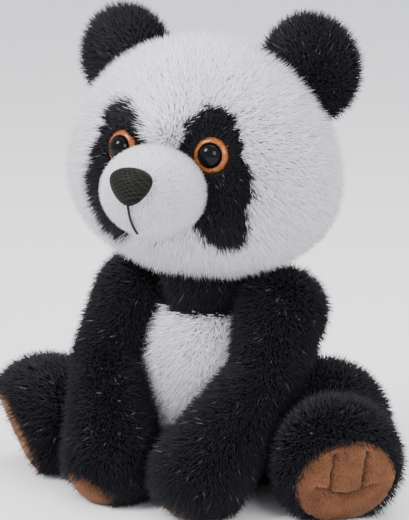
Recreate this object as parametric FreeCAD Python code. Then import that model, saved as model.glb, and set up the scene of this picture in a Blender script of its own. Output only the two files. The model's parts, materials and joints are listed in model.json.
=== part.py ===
"""Seated plush panda: sewn fur-fabric covers over fibre stuffing, plastic eyes and nose, sewn-on limbs.

Millimetres. +Z is up, the panda looks along -Y, and +X is its own left side. The origin is on the
floor under the middle of the torso's seat. Each piece is written to parts/NAME.step.
"""
import FreeCAD
import Part
import math
import os
from FreeCAD import Placement, Rotation, Vector

# ---- fabric and clearances -------------------------------------------------------------------
COVER = 3.5            # fur fabric: backing with its pile pressed flat
FILL_GAP = 0.2         # between a cover and the stuffing inside it
BODY_GAP = 0.5         # between two bodies that move against each other
FLOOR_FLAT = 1.0       # how far a round paw or foot is pressed flat by the floor
THREAD = 0.6           # radius of a sewing or embroidery thread
THREAD_LIFT = 0.06     # closing stitches, off the cloth that they cross

# ---- torso -----------------------------------------------------------------------------------
TORSO_HALF_WIDTH = 52.0
TORSO_HALF_DEPTH = 40.0
TORSO_WIDEST_Z = 52.0
TORSO_RISE = 61.0      # from the widest level to the top
TORSO_DROP = 62.0      # from the widest level to where the bottom would close without the floor
TORSO_Y = 14.0
SIDE_SEAM_Y = 17.0     # where the torso's front panels meet its back panels
SEAT_PANEL_HEIGHT = 7.0
BIB_TOP_HALF = 35.0
BIB_BOTTOM_HALF = 15.0
BIB_TOP_BELOW_NECK = 20.0
BIB_TOP_DIP = 9.0      # how far the bib's top edge dips in its middle
BIB_BOTTOM_Z = 18.0
PELLET_BAG_RADIUS = 19.0
PELLET_BAG_FLAT = 0.62  # height of the pellet bag as a share of its width
BAG_CLOTH = 0.8
CLOSING_LOW_Z = 34.0   # lowest closing stitch on the back
CLOSING_BELOW_NECK = 26.0

# ---- head ------------------------------------------------------------------------------------
NECK_GAP = 6.0         # between the torso's top and the chin
NECK_RADIUS = 24.0
HEAD_HALF_WIDTH = 77.0
HEAD_HALF_DEPTH = 46.0
HEAD_CROWN = 72.0      # from the widest level to the top
HEAD_CHIN = 52.0       # from the widest level to the chin
HEAD_Y = -7.0
HEAD_SEAM_Y = -2.0     # where the face panels meet the back of the head
FOREHEAD_HALF = 15.0   # half width of the middle face panel
PATCH_HALF_WIDTH = 18.5
PATCH_HALF_HEIGHT = 36.0
PATCH_X = 30.0
PATCH_ABOVE_WIDEST = 6.0
PATCH_TILT = 8.0
MUZZLE_HALF_WIDTH = 26.5
MUZZLE_RADIUS = 23.0
MUZZLE_FORWARD = 4.0   # muzzle centre, in front of the face's front
MUZZLE_BELOW_WIDEST = 2.0
EYE_X = 27.2
EYE_ABOVE_WIDEST = 17.0
EYE_OUT = 12.0         # degrees that each eye looks outwards
EYE_SINK = 3.0         # iris plane behind the fur surface
IRIS_RADIUS = 9.3
IRIS_THICK = 2.2
PUPIL_RADIUS = 6.8
PUPIL_RISE = 5.6
SHANK_RADIUS = 2.2
SHANK_LENGTH = 14.0
WASHER_RADIUS = 7.5
WASHER_THICK = 1.2
WASHER_FIT = 0.05
NOSE_HALF_WIDTH = 11.0
NOSE_HALF_HEIGHT = 9.5
NOSE_THICK = 5.5
NOSE_LIFT = 17.0       # degrees above the muzzle's front
MOUTH_START = 16.0     # degrees below the muzzle's front
MOUTH_END = 58.0

# ---- ears ------------------------------------------------------------------------------------
EAR_RADIUS = 26.0
EAR_HALF_THICK = 6.5
EAR_BASE_HALF = 16.0
EAR_ANGLE = 44.0       # degrees from straight up
EAR_Y = 8.0
EAR_SINK = 2.0         # ear seam below the head's surface
EAR_RISE = 17.0        # ear's middle above its seam
EAR_CLEAR = 2.2        # between the head and the ear's blade beside the rolled seam

# ---- arms ------------------------------------------------------------------------------------
SHOULDER_RADIUS = 21.0
SHOULDER_BELOW_TOP = 13.0
SHOULDER_OUT = 12.5
SHOULDER_FORWARD = 14.0
ELBOW_RADIUS = 15.5
ELBOW_OFFSET = Vector(4, -26, -30)
PAW_RADIUS = 23.0
PAW_X = 27.0
PAW_FORWARD = 30.0     # paw centre in front of the elbow
PAW_PAD_RADIUS = 15.5
PAW_NORMALS = {"left": Vector(-0.35, -0.30, -0.89), "right": Vector(-0.25, -0.62, -0.74)}

# ---- legs ------------------------------------------------------------------------------------
HIP_RADIUS = 33.0
HIP_OUT = 7.0          # hip centre outside the torso's widest half width
HIP_BACK = 8.0
HIP_LIFT = 1.0
ANKLE_RADIUS = 27.0
ANKLE_OFFSET = Vector(16.0, -26.0, -6.0)
FOOT_RADIUS = 31.0
FOOT_OUT = 15.0
FOOT_FORWARD = 20.0
SOLE_YAW = 45.0        # degrees that each sole is turned outwards from straight ahead
SOLE_DOWN = 24.0       # degrees that each sole looks down
SOLE_FLAT = 17.0       # sole plane in front of the foot's centre
SOLE_PAD_THICK = 4.0
SOLE_PAD_MARGIN = 0.8  # bare rim of the foot around the pad

THREAD_SPREAD = 0.32   # toe threads' distance from the pad's middle, as a share of the pad's radius
TOE_THREAD_SPAN = (-0.1, 0.7)
PAW_THREAD_SPAN = (0.12, 0.7)

HUGE = 500.0
HEAL = 0.01            # how far apart edges may lie and still be joined
SEAM_TURN = 80.0       # degrees; keeps a round surface's own seam line away from the panel seams
MIRROR = {"left": 1.0, "right": -1.0}


# ---- basic shapes ----------------------------------------------------------------------------
def egg(centre, half_width, half_depth, rise, drop):
    """A closed egg: the upper and lower halves of two ellipsoids that share their widest level."""
    halves = []
    for height, low, high in ((rise, 0, 90), (drop, -90, 0)):
        half = Part.makeSphere(1.0, Vector(0, 0, 0), Vector(0, 0, 1), low, high, 360)
        half.rotate(Vector(0, 0, 0), Vector(0, 0, 1), SEAM_TURN)
        stretch = FreeCAD.Matrix()
        stretch.A11, stretch.A22, stretch.A33 = half_width, half_depth, height
        halves.append(half.transformGeometry(stretch))
    solid = halves[0].fuse(halves[1])
    solid.translate(centre)
    return solid_of(solid)


def ellipsoid(centre, rx, ry, rz, turn=None):
    """A closed ellipsoid, turned about its centre by an optional rotation."""
    matrix = FreeCAD.Matrix()
    matrix.A11, matrix.A22, matrix.A33 = rx, ry, rz
    solid = Part.makeSphere(1.0)
    solid.rotate(Vector(0, 0, 0), Vector(0, 0, 1), SEAM_TURN)
    solid = solid.transformGeometry(matrix)
    solid.Placement = Placement(centre, turn or Rotation()).multiply(solid.Placement)
    return solid_of(solid)


def capsule(start, start_radius, end, end_radius):
    """Two balls and the cone that is tangent to both."""
    axis = end - start
    length = axis.Length
    lean = math.asin((start_radius - end_radius) / length)
    out = Vector(math.cos(lean), 0, math.sin(lean))
    low = Vector(0, 0, -start_radius)
    high = Vector(0, 0, length + end_radius)
    a = out * start_radius
    b = Vector(0, 0, length) + out * end_radius
    low_mid = Vector(math.cos((lean - math.pi / 2) / 2), 0, math.sin((lean - math.pi / 2) / 2)) * start_radius
    high_mid = Vector(math.cos((lean + math.pi / 2) / 2), 0, math.sin((lean + math.pi / 2) / 2)) * end_radius
    edges = [
        Part.Arc(low, low_mid, a).toShape(),
        Part.LineSegment(a, b).toShape(),
        Part.Arc(b, Vector(0, 0, length) + high_mid, high).toShape(),
        Part.LineSegment(high, low).toShape(),
    ]
    solid = Part.Face(Part.Wire(edges)).revolve(Vector(0, 0, 0), Vector(0, 0, 1), 360)
    solid.Placement = Placement(start, Rotation(Vector(0, 0, 1), axis))
    return solid_of(solid)


def ball(centre, radius):
    return Part.makeSphere(radius, centre)


def rod(start, direction, radius, length):
    return Part.makeCylinder(radius, length, start, direction)


def block(x, y, z):
    """A box from three (low, high) pairs."""
    return Part.makeBox(x[1] - x[0], y[1] - y[0], z[1] - z[0], Vector(x[0], y[0], z[0]))


def beyond(point, normal):
    """The half space on the side of the plane that its normal points to, as a large box."""
    box = Part.makeBox(2 * HUGE, 2 * HUGE, HUGE, Vector(-HUGE, -HUGE, 0))
    box.Placement = Placement(point, Rotation(Vector(0, 0, 1), normal))
    return box


def solid_of(shape):
    """The largest solid in a shape, its edges healed if a cut left them loose."""
    solids = sorted(shape.Solids, key=lambda s: s.Volume)
    if not solids:
        raise ValueError("a shape came out with no solid")
    solid = solids[-1]
    if not solid.isValid():
        solid = solid.copy()
        solid.fix(HEAL, HEAL, HEAL)
    return solid


def cut(shape, *tools):
    """The largest solid that is left of a shape after cutting the tools from it."""
    for tool in tools:
        shape = shape.cut(tool)
    return solid_of(shape)


def common(shape, *tools):
    for tool in tools:
        shape = shape.common(tool)
    return solid_of(shape)


def fuse(first, *others):
    shape = first
    for other in others:
        shape = shape.fuse(other)
    return solid_of(shape.removeSplitter())


def mirrored(point, side):
    return Vector(point.x * MIRROR[side], point.y, point.z)


# ---- places worked out from the driving sizes ------------------------------------------------
torso_top_z = TORSO_WIDEST_Z + TORSO_RISE
head_z = torso_top_z + NECK_GAP + HEAD_CHIN
head_centre = Vector(0, HEAD_Y, head_z)
torso_centre = Vector(0, TORSO_Y, TORSO_WIDEST_Z)
neck_centre = Vector(0, (TORSO_Y + HEAD_Y) / 2, torso_top_z + NECK_GAP / 2)
face_front_y = HEAD_Y - HEAD_HALF_DEPTH
muzzle_centre = Vector(0, face_front_y - MUZZLE_FORWARD, head_z - MUZZLE_BELOW_WIDEST)


def egg_share(height, rise, drop):
    """Width at a height above the widest level, as a share of the widest."""
    return math.sqrt(max(0.0, 1 - (height / (rise if height > 0 else drop)) ** 2))


def face_y(x, z):
    """Y of the head's front surface at a place on the face."""
    share = egg_share(z - head_z, HEAD_CROWN, HEAD_CHIN)
    inside = max(0.0, 1 - (x / (HEAD_HALF_WIDTH * share)) ** 2)
    return HEAD_Y - HEAD_HALF_DEPTH * share * math.sqrt(inside)


shoulder_z = torso_top_z - SHOULDER_BELOW_TOP
shoulder_share = egg_share(shoulder_z - TORSO_WIDEST_Z, TORSO_RISE, TORSO_DROP)
shoulder_y = TORSO_Y - SHOULDER_FORWARD
neck_reach = NECK_RADIUS + SHOULDER_RADIUS + 2.5 * BODY_GAP
clear_of_neck = math.sqrt(neck_reach**2 - (shoulder_z - neck_centre.z) ** 2 - (shoulder_y - neck_centre.y) ** 2)
shoulder_x = max(TORSO_HALF_WIDTH * shoulder_share + SHOULDER_OUT, clear_of_neck)
shoulder = Vector(shoulder_x, shoulder_y, shoulder_z)
elbow = shoulder + ELBOW_OFFSET
paw = Vector(PAW_X, elbow.y - PAW_FORWARD, PAW_RADIUS - FLOOR_FLAT)
hip = Vector(TORSO_HALF_WIDTH + HIP_OUT, TORSO_Y + HIP_BACK, HIP_RADIUS + HIP_LIFT)
ankle = hip + ANKLE_OFFSET
foot = Vector(ankle.x + FOOT_OUT, ankle.y - FOOT_FORWARD, FOOT_RADIUS - FLOOR_FLAT)
ear_up = Vector(math.sin(math.radians(EAR_ANGLE)), 0, math.cos(math.radians(EAR_ANGLE)))
ear_along = Vector(ear_up.z, 0, -ear_up.x)


def head_reach(direction):
    """Distance from the head's centre to its surface along a direction in the XZ plane through EAR_Y."""
    depth = math.sqrt(1 - ((EAR_Y - HEAD_Y) / HEAD_HALF_DEPTH) ** 2)
    x = direction.x / (HEAD_HALF_WIDTH * depth)
    z = direction.z / ((HEAD_CROWN if direction.z > 0 else HEAD_CHIN) * depth)
    return 1 / math.hypot(x, z)


ear_seam = Vector(0, EAR_Y, head_z) + ear_up * (head_reach(ear_up) - EAR_SINK)
eye_centre = Vector(EYE_X, face_y(EYE_X, head_z + EYE_ABOVE_WIDEST) + EYE_SINK, head_z + EYE_ABOVE_WIDEST)
eye_out = Vector(math.sin(math.radians(EYE_OUT)), -math.cos(math.radians(EYE_OUT)), 0)
nose_lift = math.radians(NOSE_LIFT)
nose_out = Vector(0, -math.cos(nose_lift), math.sin(nose_lift))
nose_centre = muzzle_centre + nose_out * MUZZLE_RADIUS
sole_yaw = math.radians(SOLE_YAW)
sole_down = math.radians(SOLE_DOWN)
sole_out = Vector(
    math.sin(sole_yaw) * math.cos(sole_down), -math.cos(sole_yaw) * math.cos(sole_down), -math.sin(sole_down)
)

# ---- whole bodies, before they are cut into panels -------------------------------------------
floor = block((-HUGE, HUGE), (-HUGE, HUGE), (-HUGE, 0))


def torso_egg(inset):
    return egg(torso_centre, TORSO_HALF_WIDTH - inset, TORSO_HALF_DEPTH - inset, TORSO_RISE - inset, TORSO_DROP - inset)


def head_egg(inset):
    return egg(head_centre, HEAD_HALF_WIDTH - inset, HEAD_HALF_DEPTH - inset, HEAD_CROWN - inset, HEAD_CHIN - inset)


def muzzle_ball(inset):
    """A short bar across the face, round at both ends."""
    radius = MUZZLE_RADIUS - inset
    reach = Vector(MUZZLE_HALF_WIDTH - MUZZLE_RADIUS, 0, 0)
    middle = rod(muzzle_centre - reach, reach, radius, 2 * reach.Length)
    return fuse(middle, ball(muzzle_centre - reach, radius), ball(muzzle_centre + reach, radius))


def thigh(side, extra):
    return capsule(mirrored(hip, side), HIP_RADIUS + extra, mirrored(ankle, side), ANKLE_RADIUS + extra)


def upper_arm(side, extra):
    return capsule(mirrored(shoulder, side), SHOULDER_RADIUS + extra, mirrored(elbow, side), ELBOW_RADIUS + extra)


neck_socket = ball(neck_centre, NECK_RADIUS + BODY_GAP)
limb_sockets = [f(side, BODY_GAP) for side in MIRROR for f in (thigh, upper_arm)]

torso_outer = cut(torso_egg(0), floor, neck_socket, *limb_sockets)
torso_inner = torso_egg(COVER).cut(block((-HUGE, HUGE), (-HUGE, HUGE), (-HUGE, COVER)))
torso_cover = cut(torso_outer, torso_inner)
torso_core = cut(
    torso_egg(COVER + FILL_GAP), block((-HUGE, HUGE), (-HUGE, HUGE), (-HUGE, COVER + FILL_GAP)),
    neck_socket, *limb_sockets
)
head_outer = cut(head_egg(0), neck_socket)
head_inner = head_egg(COVER)
head_cover = cut(head_outer, head_inner)
head_core = cut(head_egg(COVER + FILL_GAP), neck_socket)
parts = {}


# ---- torso -----------------------------------------------------------------------------------
def bib_region():
    """A shield with a dipped top edge, drawn on the front and pushed through it."""
    top = torso_top_z - BIB_TOP_BELOW_NECK
    left = Vector(BIB_TOP_HALF, 0, top)
    right = Vector(-BIB_TOP_HALF, 0, top)
    low_left = Vector(BIB_BOTTOM_HALF, 0, BIB_BOTTOM_Z)
    low_right = Vector(-BIB_BOTTOM_HALF, 0, BIB_BOTTOM_Z)
    edges = [
        Part.Arc(left, Vector(0, 0, top - BIB_TOP_DIP), right).toShape(),
        Part.LineSegment(right, low_right).toShape(),
        Part.LineSegment(low_right, low_left).toShape(),
        Part.LineSegment(low_left, left).toShape(),
    ]
    face = Part.Face(Part.Wire(edges))
    face.translate(Vector(0, TORSO_Y, 0))
    return face.extrude(Vector(0, -HUGE, 0))


def make_torso():
    seat_zone = block((-HUGE, HUGE), (-HUGE, HUGE), (-HUGE, SEAT_PANEL_HEIGHT))
    back_zone = block((-HUGE, HUGE), (SIDE_SEAM_Y, HUGE), (SEAT_PANEL_HEIGHT, HUGE))
    front_zone = block((-HUGE, HUGE), (-HUGE, SIDE_SEAM_Y), (SEAT_PANEL_HEIGHT, HUGE))
    left_zone = block((0, HUGE), (-HUGE, HUGE), (-HUGE, HUGE))
    right_zone = block((-HUGE, 0), (-HUGE, HUGE), (-HUGE, HUGE))
    bib = bib_region()
    parts["seat_panel"] = common(torso_cover, seat_zone)
    back = torso_cover.common(back_zone)
    parts["back_panel_left"] = common(back, left_zone)
    parts["back_panel_right"] = common(back, right_zone)
    front = torso_cover.common(front_zone)
    parts["belly_bib"] = common(front, bib)
    around_bib = sorted(front.cut(bib).Solids, key=lambda s: s.CenterOfMass.z)
    parts["belly_side_panel"] = solid_of(around_bib[0])
    parts["chest_yoke"] = solid_of(around_bib[-1])
    bag_z = COVER + FILL_GAP + PELLET_BAG_RADIUS * PELLET_BAG_FLAT
    bag_centre = Vector(0, TORSO_Y, bag_z + FILL_GAP)

    def bag(inset):
        r = PELLET_BAG_RADIUS - inset
        return ellipsoid(bag_centre, r, r, PELLET_BAG_RADIUS * PELLET_BAG_FLAT - inset)

    parts["pellet_bag"] = cut(bag(0), bag(BAG_CLOTH))
    parts["pellets"] = bag(BAG_CLOTH + FILL_GAP)
    parts["torso_stuffing"] = cut(torso_core, bag(-FILL_GAP))


def make_closing_seam():
    """The hand-sewn ladder stitch that closes the back, as short bars across the middle seam."""
    bars = []
    count = 7
    low, high = CLOSING_LOW_Z, torso_top_z - CLOSING_BELOW_NECK
    for k in range(count):
        z = low + (high - low) * k / (count - 1)
        share = egg_share(z - TORSO_WIDEST_Z, TORSO_RISE, TORSO_DROP)
        y = TORSO_Y + TORSO_HALF_DEPTH * share + THREAD + THREAD_LIFT
        bars.append(rod(Vector(-2.5, y, z), Vector(1, 0, 0), THREAD, 5.0))
    parts["back_closing_stitches"] = Part.makeCompound(bars)


# ---- head ------------------------------------------------------------------------------------
def patch_region(side):
    matrix = FreeCAD.Matrix()
    matrix.A11, matrix.A22 = PATCH_HALF_WIDTH, PATCH_HALF_HEIGHT
    column = Part.makeCylinder(1.0, HUGE).transformGeometry(matrix)
    stand = Rotation(Vector(1, 0, 0), 90)
    tilt = Rotation(Vector(0, 1, 0), -PATCH_TILT * MIRROR[side])
    place = Vector(PATCH_X * MIRROR[side], HEAD_Y, head_z + PATCH_ABOVE_WIDEST)
    column.Placement = Placement(place, tilt.multiply(stand))
    return column


def eye_frame(side):
    """Placement whose +Z looks out of the eye."""
    return Placement(mirrored(eye_centre, side), Rotation(Vector(0, 0, 1), mirrored(eye_out, side)))


def placed(shape, frame):
    shape = shape.copy()
    shape.Placement = frame.multiply(shape.Placement)
    return shape


def cap(radius, rise):
    """A dome on the plane z = 0, of this base radius and height."""
    sphere_radius = (radius ** 2 + rise ** 2) / (2 * rise)
    whole = Part.makeSphere(sphere_radius, Vector(0, 0, rise - sphere_radius))
    return common(whole, block((-HUGE, HUGE), (-HUGE, HUGE), (0, HUGE)))


def eye_pieces():
    """Pupil dome with its shank, iris ring and locking washer, in the eye's own frame."""
    seat = -IRIS_THICK
    washer_z = seat - COVER - WASHER_THICK
    pupil = fuse(
        cap(PUPIL_RADIUS, PUPIL_RISE),
        Part.makeCylinder(PUPIL_RADIUS, IRIS_THICK, Vector(0, 0, seat)),
        Part.makeCylinder(SHANK_RADIUS, SHANK_LENGTH, Vector(0, 0, seat - SHANK_LENGTH)),
    )
    slope = Part.makeCone(IRIS_RADIUS, PUPIL_RADIUS + WASHER_FIT, IRIS_THICK, Vector(0, 0, seat))
    iris = cut(slope, Part.makeCylinder(PUPIL_RADIUS + WASHER_FIT, 4 * IRIS_THICK, Vector(0, 0, 2 * seat)))
    washer = cut(
        Part.makeCylinder(WASHER_RADIUS, WASHER_THICK, Vector(0, 0, washer_z)),
        Part.makeCylinder(SHANK_RADIUS + WASHER_FIT, 3 * WASHER_THICK, Vector(0, 0, washer_z - WASHER_THICK)),
    )
    room = fuse(
        Part.makeCylinder(IRIS_RADIUS + FILL_GAP, HUGE, Vector(0, 0, seat - FILL_GAP)),
        Part.makeCylinder(SHANK_RADIUS + FILL_GAP, SHANK_LENGTH + FILL_GAP, Vector(0, 0, seat - SHANK_LENGTH - FILL_GAP)),
        Part.makeCylinder(WASHER_RADIUS + FILL_GAP, WASHER_THICK + 2 * FILL_GAP, Vector(0, 0, washer_z - FILL_GAP)),
    )
    return pupil, iris, washer, room


def nose_shape():
    turn = Rotation(Vector(1, 0, 0), 90 - NOSE_LIFT)
    return ellipsoid(nose_centre, NOSE_HALF_WIDTH, NOSE_HALF_HEIGHT, NOSE_THICK, turn)


def make_head():
    front_zone = block((-HUGE, HUGE), (-HUGE, HEAD_SEAM_Y), (-HUGE, HUGE))
    back_zone = block((-HUGE, HUGE), (HEAD_SEAM_Y, HUGE), (-HUGE, HUGE))
    ears = [ear_groove(side) for side in MIRROR]
    front = head_cover.common(front_zone).cut(muzzle_ball(0))
    patches = {side: patch_region(side) for side in MIRROR}
    pupil, iris, washer, room = eye_pieces()
    rooms = []
    for side in MIRROR:
        frame = eye_frame(side)
        here = placed(room, frame)
        rooms.append(here)
        parts["eye_patch_" + side] = cut(front.common(patches[side]), here)
        parts["eye_" + side] = placed(pupil, frame)
        parts["iris_ring_" + side] = placed(iris, frame)
        parts["eye_washer_" + side] = placed(washer, frame)
    face = front.cut(patches["left"]).cut(patches["right"]).cut(rooms[0]).cut(rooms[1])
    middle = block((-FOREHEAD_HALF, FOREHEAD_HALF), (-HUGE, HUGE), (-HUGE, HUGE))
    above = block((-HUGE, HUGE), (-HUGE, HUGE), (head_z, HUGE))
    below = block((-HUGE, HUGE), (-HUGE, HUGE), (-HUGE, head_z))
    parts["forehead_panel"] = common(face, middle, above)
    parts["chin_panel"] = common(face, middle, below)
    parts["cheek_panel_left"] = common(face, block((FOREHEAD_HALF, HUGE), (-HUGE, HUGE), (-HUGE, HUGE)))
    parts["cheek_panel_right"] = common(face, block((-HUGE, -FOREHEAD_HALF), (-HUGE, HUGE), (-HUGE, HUGE)))
    parts["head_back_panel"] = cut(head_cover.common(back_zone), *ears)
    make_muzzle()
    core = cut(head_core, muzzle_ball(-FILL_GAP), *ears, *rooms)
    parts["head_stuffing"] = cut(core, nose_shank(FILL_GAP))


def nose_shank(extra):
    start = nose_centre - nose_out * SHANK_LENGTH
    return rod(start - nose_out * extra, nose_out, SHANK_RADIUS + extra, SHANK_LENGTH + NOSE_THICK / 2 + extra)


def nose_washer(extra):
    lining = MUZZLE_RADIUS - COVER - FILL_GAP
    depth = MUZZLE_RADIUS - math.sqrt(lining**2 - (WASHER_RADIUS + FILL_GAP) ** 2) + WASHER_THICK
    start = nose_centre - nose_out * (depth + extra)
    return rod(start, nose_out, WASHER_RADIUS + extra, WASHER_THICK + 2 * extra)


def make_muzzle():
    whole = cut(muzzle_ball(0), nose_shank(FILL_GAP))
    parts["muzzle_cover"] = cut(whole, muzzle_ball(COVER), head_inner)
    core = cut(muzzle_ball(COVER + FILL_GAP), head_egg(COVER - FILL_GAP))
    parts["muzzle_stuffing"] = cut(core, nose_shank(FILL_GAP), nose_washer(FILL_GAP))
    parts["nose"] = fuse(cut(nose_shape(), muzzle_ball(0)), nose_shank(0))
    parts["nose_washer"] = cut(nose_washer(0), nose_shank(WASHER_FIT))
    parts["mouth_stitch"] = mouth_stitch()


def mouth_stitch():
    """A thread that lies on the muzzle's round middle section, from under the nose downwards."""
    r = MUZZLE_RADIUS + THREAD

    def at(degrees):
        a = math.radians(degrees)
        return muzzle_centre + Vector(0, -math.cos(a), -math.sin(a)) * r

    arc = Part.Arc(at(MOUTH_START), at((MOUTH_START + MOUTH_END) / 2), at(MOUTH_END)).toShape()
    a = math.radians(MOUTH_START)
    tangent = Vector(0, math.sin(a), -math.cos(a))
    ring = Part.Wire(Part.makeCircle(THREAD, at(MOUTH_START), tangent))
    return solid_of(Part.Wire(arc).makePipeShell([ring], True, False))


# ---- neck ------------------------------------------------------------------------------------
def make_neck():
    parts["neck_stuffing"] = ball(neck_centre, NECK_RADIUS)


# ---- ears ------------------------------------------------------------------------------------
def ear_groove(side):
    """The seam channel that an ear's rolled base turns in."""
    return ear_bead(side, BODY_GAP)


def ear_bead(side, extra):
    """The rolled base of an ear, round at both ends."""
    along = mirrored(ear_along, side) * EAR_BASE_HALF
    seam = mirrored(ear_seam, side)
    radius = EAR_HALF_THICK + extra
    middle = rod(seam - along, along, radius, 2 * EAR_BASE_HALF)
    return middle.fuse(ball(seam - along, radius)).fuse(ball(seam + along, radius))


def make_ear(side):
    up = mirrored(ear_up, side)
    seam = mirrored(ear_seam, side)
    turn = Rotation(Vector(0, 0, 1), up)
    disc = ellipsoid(seam + up * EAR_RISE, EAR_RADIUS, EAR_HALF_THICK, EAR_RADIUS, turn)
    blade = disc.common(beyond(seam, up))
    bead = ear_bead(side, 0)
    clear = cut(blade, head_egg(-EAR_CLEAR).cut(bead))
    ear = fuse(clear, bead)
    front = block((-HUGE, HUGE), (-HUGE, EAR_Y), (-HUGE, HUGE))
    back = block((-HUGE, HUGE), (EAR_Y, HUGE), (-HUGE, HUGE))
    parts["ear_front_" + side] = common(ear, front)
    parts["ear_back_" + side] = common(ear, back)


# ---- arms ------------------------------------------------------------------------------------
def arm_solid(side, inset):
    s, e, p = (mirrored(v, side) for v in (shoulder, elbow, paw))
    upper = capsule(s, SHOULDER_RADIUS - inset, e, ELBOW_RADIUS - inset)
    lower = capsule(e, ELBOW_RADIUS - inset, p, PAW_RADIUS - inset)
    under = block((-HUGE, HUGE), (-HUGE, HUGE), (-HUGE, inset))
    return cut(fuse(upper, lower), under)


def pad_threads(ball_centre, ball_radius, out, lateral, low, high):
    """Two threads that lie on a round pad, one on each side of its middle, from low to high."""
    side = Vector(0, 0, 1).cross(out)
    side.normalize()
    up = out.cross(side)
    bars = []
    for offset in (-lateral, lateral):
        r = math.sqrt((ball_radius + THREAD) ** 2 - offset ** 2)

        def at(height):
            return ball_centre + side * offset + up * height + out * math.sqrt(r ** 2 - height ** 2)

        arc = Part.Arc(at(low), at((low + high) / 2), at(high)).toShape()
        ring = Part.Wire(Part.makeCircle(THREAD, at(low), arc.tangentAt(arc.FirstParameter)))
        bars.append(solid_of(Part.Wire(arc).makePipeShell([ring], True, False)))
    return Part.makeCompound(bars)


def make_arm(side):
    outer = arm_solid(side, 0)
    centre = mirrored(paw, side)
    normal = Vector(PAW_NORMALS[side])
    normal.normalize()
    flat = math.sqrt(PAW_RADIUS ** 2 - PAW_PAD_RADIUS ** 2)
    seat = centre + normal * flat
    zone = beyond(seat, normal)
    pad = common(arm_solid(side, 0), zone)
    parts["paw_pad_" + side] = pad
    cover = cut(outer, arm_solid(side, COVER), zone)
    parts["arm_cover_" + side] = cover
    parts["arm_stuffing_" + side] = cut(arm_solid(side, COVER + FILL_GAP), beyond(seat - normal * FILL_GAP, normal))
    reach = [share * PAW_PAD_RADIUS for share in PAW_THREAD_SPAN]
    parts["paw_stitch_" + side] = pad_threads(
        centre, PAW_RADIUS, normal, THREAD_SPREAD * PAW_PAD_RADIUS, *reach
    )


# ---- legs ------------------------------------------------------------------------------------
def leg_solid(side, inset):
    h, a, f = (mirrored(v, side) for v in (hip, ankle, foot))
    thigh = capsule(h, HIP_RADIUS - inset, a, ANKLE_RADIUS - inset)
    shin = capsule(a, ANKLE_RADIUS - inset, f, FOOT_RADIUS - inset)
    under = block((-HUGE, HUGE), (-HUGE, HUGE), (-HUGE, inset))
    out = mirrored(sole_out, side)
    return cut(fuse(thigh, shin), under, beyond(f + out * (SOLE_FLAT - inset), out))


def make_leg(side):
    out = mirrored(sole_out, side)
    centre = mirrored(foot, side) + out * SOLE_FLAT
    parts["leg_cover_" + side] = cut(leg_solid(side, 0), leg_solid(side, COVER))
    parts["leg_stuffing_" + side] = leg_solid(side, COVER + FILL_GAP)
    radius = math.sqrt(FOOT_RADIUS ** 2 - SOLE_FLAT ** 2) - SOLE_PAD_MARGIN
    dome = placed(cap(radius, SOLE_PAD_THICK), Placement(centre, Rotation(Vector(0, 0, 1), out)))
    parts["sole_pad_" + side] = cut(dome, floor)
    dome_radius = (radius ** 2 + SOLE_PAD_THICK ** 2) / (2 * SOLE_PAD_THICK)
    dome_centre = centre + out * (SOLE_PAD_THICK - dome_radius)
    reach = [share * radius for share in TOE_THREAD_SPAN]
    parts["toe_stitches_" + side] = pad_threads(dome_centre, dome_radius, out, THREAD_SPREAD * radius, *reach)


# ---- build -----------------------------------------------------------------------------------
def main():
    make_torso()
    make_closing_seam()
    make_head()
    make_neck()
    for side in MIRROR:
        make_ear(side)
        make_arm(side)
        make_leg(side)
    os.makedirs("parts", exist_ok=True)
    for name, shape in parts.items():
        for k, solid in enumerate(shape.Solids):
            if not solid.isValid() or solid.Volume <= 0:
                raise ValueError(f"{name} solid {k} isn't a valid solid")
        shape.exportStep(os.path.join("parts", name + ".step"))
    print(len(parts), "nodes")


main()
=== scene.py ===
"""Looks of a seated plush panda: sewn skins, combed pile, glossy ringed eyes and stitched pads.

Metres. +Z is up, the panda looks along -Y, and +X is its own left side.
"""
import json
import math

import bmesh
import bpy
from mathutils import Matrix, Vector


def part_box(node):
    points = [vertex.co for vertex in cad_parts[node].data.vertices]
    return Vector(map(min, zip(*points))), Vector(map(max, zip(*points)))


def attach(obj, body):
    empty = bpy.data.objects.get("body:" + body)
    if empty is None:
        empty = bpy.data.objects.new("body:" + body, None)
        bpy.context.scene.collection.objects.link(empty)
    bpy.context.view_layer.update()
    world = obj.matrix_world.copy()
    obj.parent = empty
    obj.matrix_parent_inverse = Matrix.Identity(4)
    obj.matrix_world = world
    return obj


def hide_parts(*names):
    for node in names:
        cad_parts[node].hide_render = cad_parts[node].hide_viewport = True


bl_info = {
    "name": "Plush panda",
    "version": (1, 0, 0),
    "blender": (4, 5, 0),
    "location": "View3D > Sidebar > Panda",
    "description": "Builds a seated plush panda with combed pile, eyes, nose and stitched pads",
    "category": "Add Mesh",
}

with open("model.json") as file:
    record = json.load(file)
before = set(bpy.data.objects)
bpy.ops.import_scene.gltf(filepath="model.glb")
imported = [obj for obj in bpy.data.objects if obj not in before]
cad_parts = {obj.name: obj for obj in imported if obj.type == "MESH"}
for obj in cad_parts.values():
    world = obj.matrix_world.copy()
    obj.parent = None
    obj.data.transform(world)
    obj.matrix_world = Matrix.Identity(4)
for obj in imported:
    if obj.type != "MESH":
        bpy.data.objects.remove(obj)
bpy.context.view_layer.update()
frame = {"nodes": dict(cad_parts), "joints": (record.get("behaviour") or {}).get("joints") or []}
joints = {j["name"]: Vector(j["pos_m"]) for j in frame["joints"]}
SIDES = {"left": 1.0, "right": -1.0}
SIM_SCALE = 10.0


def size(default, text):
    return bpy.props.FloatProperty(name=text, description=text, default=default, unit="LENGTH", precision=4)


def amount(default, text):
    return bpy.props.FloatProperty(name=text, description=text, default=default)


def place(default, text):
    return bpy.props.FloatVectorProperty(name=text, description=text, default=default, subtype="TRANSLATION")


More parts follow.
